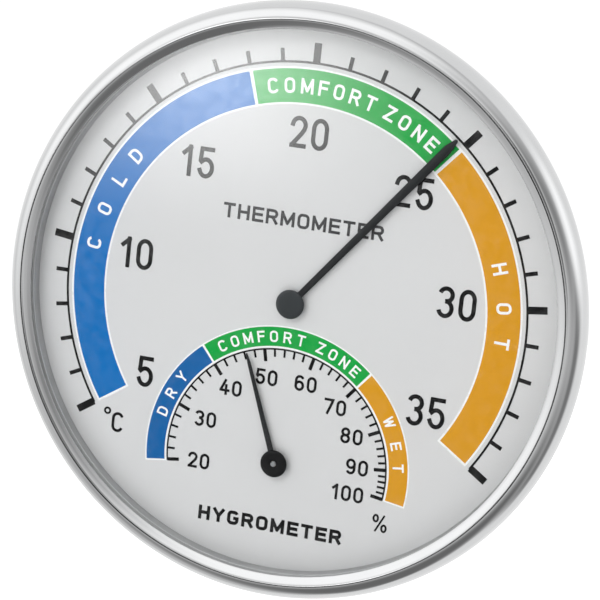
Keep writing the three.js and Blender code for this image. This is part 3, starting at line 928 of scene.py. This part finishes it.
def arc_loop(r, width, a0, a1, cz=0.0, n=26, e=10):
    """Outline of a slot along an arc, angles anticlockwise from +x."""
    h = width / 2
    pts = []
    for i in range(n + 1):
        a = math.radians(a0 + (a1 - a0) * i / n)
        pts.append(((r + h) * math.cos(a), cz + (r + h) * math.sin(a)))
    b = math.radians(a1)
    for i in range(1, e):
        t = b + math.pi * i / e
        pts.append((r * math.cos(b) + h * math.cos(t), cz + r * math.sin(b) + h * math.sin(t)))
    for i in range(n + 1):
        a = math.radians(a1 + (a0 - a1) * i / n)
        pts.append(((r - h) * math.cos(a), cz + (r - h) * math.sin(a)))
    a = math.radians(a0)
    for i in range(1, e):
        t = a + math.pi + math.pi * i / e
        pts.append((r * math.cos(a) + h * math.cos(t), cz + r * math.sin(a) + h * math.sin(t)))
    return pts


def keyhole_loop(grow):
    """Outline of the entry hole and the slot above it."""
    R, h, z0, rise = 4.6 + grow, 2.5 + grow, 36.0, 7.5
    t = math.asin(h / R)
    pts = []
    for i in range(33):
        a = math.pi / 2 + t + (2 * math.pi - 2 * t) * i / 32
        pts.append((R * math.cos(a), z0 + R * math.sin(a)))
    for i in range(17):
        a = math.pi * i / 16
        pts.append((h * math.cos(a), z0 + rise + h * math.sin(a)))
    return pts


def shell():
    """The moulded cup. Its floor, with the openings let into it, is cut by flared cutters, so every opening has a small chamfer."""
    import bmesh

    profile = [
        (0, 0), (15.6, 0), (15.9, 0.08), (16.0, 0.3), (16.0, 1.2), (47.0, 1.2), (47.0, 0.3), (47.1, 0.08), (47.4, 0), (56.3, 0), (57.4, 0.16),
        (58.35, 0.68), (58.95, 1.35), (59.25, 2.2), (59.55, 6.9), (59.82, 7.02), (59.86, 7.5), (59.66, 7.66), (60.05, 13.9), (60.15, 14.15), (60.4, 14.3), (63.15, 14.3), (63.3, 14.45), (63.3, 15.72),
        (63.15, 15.85), (58.0, 15.85), (57.4, 4.0), (57.1, 3.4), (56.6, 3.2), (0, 3.2),
    ]
    v, f = turned(profile, 240)
    body = piece("rear_case", v, f, SHELL, "case", None, ["rear_shell"])

    def prism(loops):
        """A closed stack of loops [(points, d)], drawn from the back to the front."""
        n = len(loops[0][0])
        vs, fs = [], []
        for pts, d in loops:
            vs += [(x * MM, -d * MM, z * MM) for x, z in pts]
        for k in range(len(loops) - 1):
            for i in range(n):
                j = (i + 1) % n
                fs.append((k * n + i, k * n + j, (k + 1) * n + j, (k + 1) * n + i))
        fs.append(tuple(range(n)))
        fs.append(tuple(reversed(range((len(loops) - 1) * n, len(loops) * n))))
        return vs, fs

    tools = []

    def flared(make, floor):
        """floor is the outer face's d where the opening is."""
        tools.append(prism([(make(0.45), floor - 1.0), (make(0.45), floor - 0.02), (make(0.0), floor + 0.42), (make(0.0), 2.85), (make(0.3), 3.22), (make(0.3), 4.2)]))

    for r in (31.5, 36.9, 42.3):
        for side in (0, 180):
            for a, b in ((-33, -4), (4, 33)):
                flared(lambda g, r=r, a=a, b=b, side=side: arc_loop(r, 2.8 + 2 * g, side + a, side + b), 1.2)
    flared(keyhole_loop, 1.2)
    flared(lambda g: arc_loop(9.5, 5.2 + 2 * g, 252, 288, 0), 0.0)
    flared(lambda g: arc_loop(8.2, 5.2 + 2 * g, 252, 288, HYGRO_Z), 1.2)
    # the round marks the mould's ejector pins leave, and its sunk gate
    spots = [(52 * math.cos(math.radians(a)), 52 * math.sin(math.radians(a)), 0.0, 1.9, 0.12) for a in (40, 90, 140, 220, 270, 320)]
    spots += [(x, z, 1.2, 1.6, 0.12) for x in (-17, 17) for z in (-17, 17)] + [(0, 3, 0.0, 2.3, 0.4)]
    for x, z, floor, r, deep in spots:
        loop = lambda g, x=x, z=z, r=r: [(x + (r + g) * math.cos(2 * math.pi * i / 40), z + (r + g) * math.sin(2 * math.pi * i / 40)) for i in range(40)]
        tools.append(prism([(loop(0.04), floor - 1.0), (loop(0.04), floor - 0.01), (loop(0.0), floor + 0.06), (loop(0.0), floor + deep)]))
    # air paths through the rim, at both sides
    for s in (1, -1):
        x0, x1 = sorted((s * 45.0, s * 62.5))
        g = [(x0, -7), (x1, -7), (x1, 7), (x0, 7)]
        tools.append(prism([(g, -1.0), (g, 1.2)]))
    made = bpy.data.meshes.new("cutters")
    vs, fs = [], []
    for tv, tf in tools:
        s = len(vs)
        vs += tv
        fs += [tuple(i + s for i in q) for q in tf]
    made.from_pydata(vs, [], fs)
    bm = bmesh.new()
    bm.from_mesh(made)
    bmesh.ops.recalc_face_normals(bm, faces=bm.faces)
    bm.to_mesh(made)
    bm.free()
    cutter = bpy.data.objects.new("cutters", made)
    scene.collection.objects.link(cutter)
    mod = body.modifiers.new("openings", "BOOLEAN")
    mod.operation, mod.solver, mod.object = "DIFFERENCE", "EXACT", cutter
    dg = bpy.context.evaluated_depsgraph_get()
    result = bpy.data.meshes.new_from_object(body.evaluated_get(dg), depsgraph=dg)
    body.modifiers.clear()
    bm = bmesh.new()
    bm.from_mesh(result)
    bmesh.ops.remove_doubles(bm, verts=bm.verts, dist=3e-6)
    bmesh.ops.dissolve_degenerate(bm, edges=bm.edges, dist=1e-7)
    bm.to_mesh(result)
    bm.free()
    body.data = result
    bpy.data.objects.remove(cutter)
    shade(body, 38)
    return body


shell()


def post(i, x, z):
    v, f = turned([(1.25, 3.0), (3.5, 3.0), (3.5, 3.25), (3.3, 3.5), (3.2, 3.9), (3.1, 13.2), (3.0, 13.34), (1.45, 13.34), (1.25, 13.1)], 40, x, z)
    piece(f"screw_post_{i}", v, f, SHELL, "case", 40)


for i, (x, z) in enumerate(((-23, 10), (23, 10), (0, -50.6)), 1):
    post(i, x, z)

# a bead round the keyhole, an arrow that points up, and a plus and minus beside each screwdriver slot, all raised on
# the recessed floor
inside, outside = keyhole_loop(1.0), keyhole_loop(2.0)
turns = list(zip(range(len(inside)), list(range(1, len(inside))) + [0]))
v, f = flat([[inside[i], inside[j], outside[j], outside[i]] for i, j in turns], 0.7, 1.3)
piece("keyhole_bead", v, f, SHELL, "case")
marks = [[(-1.7, 24.6), (1.7, 24.6), (0.0, 27.4)]]
for side, x, z in (("minus", -8.6, -44.0), ("plus", 8.6, -44.0), ("minus", -8.6, -19.4), ("plus", 8.6, -19.4)):
    marks.append([(x - 1.7, z - 0.38), (x + 1.7, z - 0.38), (x + 1.7, z + 0.38), (x - 1.7, z + 0.38)])
    if side == "plus":
        marks.append([(x - 0.38, z - 1.7), (x + 0.38, z - 1.7), (x + 0.38, z + 1.7), (x - 0.38, z + 1.7)])
v, f = flat(marks, 0.85, 1.35)
piece("moulded_marks", v, f, SHELL, "case")

# ---- CAD nodes that stay, with finished materials --------------------------------------------------------------
for name, node in frame["nodes"].items():
    if node.hide_render:
        continue
    key = name.replace("thermo_", "").replace("hygro_", "")
    if name == "movement_carrier":
        m = CARRIER
    elif "screw" in key or key in ("staff", "regulator"):
        m = ZINC
    else:
        m = BRASS
    node.data.materials.clear()
    node.data.materials.append(m)

# ---- studio -----------------------------------------------------------------------------------------------------
scene.view_settings.view_transform = "Standard"
scene.view_settings.look = "None"
scene.view_settings.exposure = 0
scene.view_settings.gamma = 1


def emission(name, colour, strength):
    m = bpy.data.materials.new(name)
    m.use_nodes = True
    t = m.node_tree
    t.nodes.clear()
    e = t.nodes.new("ShaderNodeEmission")
    e.inputs["Color"].default_value = (*colour, 1)
    e.inputs["Strength"].default_value = strength
    o = t.nodes.new("ShaderNodeOutputMaterial")
    t.links.new(e.outputs["Emission"], o.inputs["Surface"])
    return m


def floor():
    """A plain pale floor, evenly lit."""
    z0 = -0.80
    verts =[(4 * math.cos(2 * math.pi * i / 64), 4 * math.sin(2 * math.pi * i / 64), z0) for i in range(64)]
    faces = [tuple(range(64))]
    me = bpy.data.meshes.new("floor")
    me.from_pydata(verts, [], faces)
    o = bpy.data.objects.new("floor", me)
    scene.collection.objects.link(o)
    m = bpy.data.materials.new("floor_white")
    m.use_nodes = True
    p = m.node_tree.nodes["Principled BSDF"]
    p.inputs["Base Color"].default_value = (0.86, 0.86, 0.86, 1)
    p.inputs["Roughness"].default_value = 0.9
    p.inputs["Emission Color"].default_value = (1, 1, 1, 1)
    p.inputs["Emission Strength"].default_value = 0.35
    me.materials.append(m)
    shade(o, 60)
    o.visible_glossy = False


def surround():
    """A plain white surround that only the camera sees."""
    bpy.ops.mesh.primitive_uv_sphere_add(segments=48, ring_count=24, radius=6)
    o = bpy.context.object
    o.name = "surround"
    o.data.materials.append(emission("surround_white", (1, 1, 1), 1.06))
    for flag in ("diffuse", "glossy", "transmission", "shadow", "volume_scatter"):
        setattr(o, "visible_" + flag, False)


def soft_light(name, place, towards, size, power):
    """A soft light that lights but never shows, in a mirror or in the picture."""
    light = bpy.data.lights.new(name, "AREA")
    light.shape, light.size, light.energy = "DISK", size, power
    o = bpy.data.objects.new(name, light)
    o.location = place
    o.rotation_euler = (Vector(towards) - Vector(place)).to_track_quat("-Z", "Y").to_euler()
    scene.collection.objects.link(o)
    o.visible_glossy = False
    o.visible_camera = False


floor()
surround()
soft_light("key", (-0.28, -0.50, 0.42), (0, 0, 0), 0.25, 1.1)


world = bpy.data.worlds.new("studio")
scene.world = world
world.use_nodes = True
wt = world.node_tree
wt.nodes.clear()
wo = wt.nodes.new("ShaderNodeOutputWorld")
bg = wt.nodes.new("ShaderNodeBackground")
co = wt.nodes.new("ShaderNodeTexCoord")
split = wt.nodes.new("ShaderNodeSeparateXYZ")
wt.links.new(co.outputs["Generated"], split.inputs[0])


def calc(op, a, b=None, clamp=False):
    n = wt.nodes.new("ShaderNodeMath")
    n.operation, n.use_clamp = op, clamp
    for i, v in enumerate((a, b)):
        if v is None:
            continue
        if hasattr(v, "is_linked"):
            wt.links.new(v, n.inputs[i])
        else:
            n.inputs[i].default_value = v
    return n.outputs[0]


DEG = 180 / math.pi
azimuth = calc("MULTIPLY", calc("ARCTAN2", split.outputs[0], calc("MULTIPLY", split.outputs[1], -1)), DEG)
elevation = calc("MULTIPLY", calc("ARCSINE", split.outputs[2]), DEG)


def edge(value, middle, soft, rising=True):
    m = wt.nodes.new("ShaderNodeMapRange")
    m.interpolation_type = "SMOOTHSTEP"
    m.inputs["From Min"].default_value = middle - soft / 2
    m.inputs["From Max"].default_value = middle + soft / 2
    m.inputs["To Min"].default_value = 0 if rising else 1
    m.inputs["To Max"].default_value = 1 if rising else 0
    wt.links.new(value, m.inputs["Value"])
    return m.outputs["Result"]


azimuth_round = calc("FLOORED_MODULO", azimuth, 360.0)


def window(az0, az1, el0, el1, soft_az, soft_el):
    """1 inside a soft-edged patch of the sky. Azimuth 0 is in front of the dial, positive to its right."""
    az = azimuth_round if az1 > 180 else azimuth
    across = calc("MULTIPLY", edge(az, az0, soft_az), edge(az, az1, soft_az, False))
    up = calc("MULTIPLY", edge(elevation, el0, soft_el), edge(elevation, el1, soft_el, False))
    return calc("MULTIPLY", across, up)


level = 0.80
for patch, value in (
    ((64, 262, -88, 89, 23, 13), 1.13),  # pale room behind
    ((-86, 23, -13, 71, 60, 50), 1.59),  # large soft box, left front
    ((3, 58, -6, 35, 39, 50), 0.34),  # dark beside the camera
    ((-41, 59, -89, -21, 60, 38), 0.22),  # dark bench below the front
    ((-25, 7, -14, 10, 15, 19), 0.79),
    ((-7, 7, -8, 6, 5, 5), 0.2),  # dark straight ahead, so that the window is clear from the front
    ((61, 101, -53, 9, 26, 24), 0.29),  # dark edge, right
    ((84, 114, 2, 39, 47, 26), 1.75),  # soft box, right
    ((-25.5, -10.5, -18, -4.6, 2.5, 2.5), 0.03),  # the dark camera itself, which the window mirrors
    ((-22, -17.4, -8.2, -2, 4.6, 4), 3.15),  # small soft lamp that shows in the window
):
    mask = window(*patch)
    level = calc("ADD", calc("MULTIPLY", level, calc("SUBTRACT", 1.0, mask)), calc("MULTIPLY", mask, value))
wt.links.new(level, bg.inputs["Strength"])
bg.inputs["Color"].default_value = (1, 1, 1, 1)
wt.links.new(bg.outputs[0], wo.inputs[0])
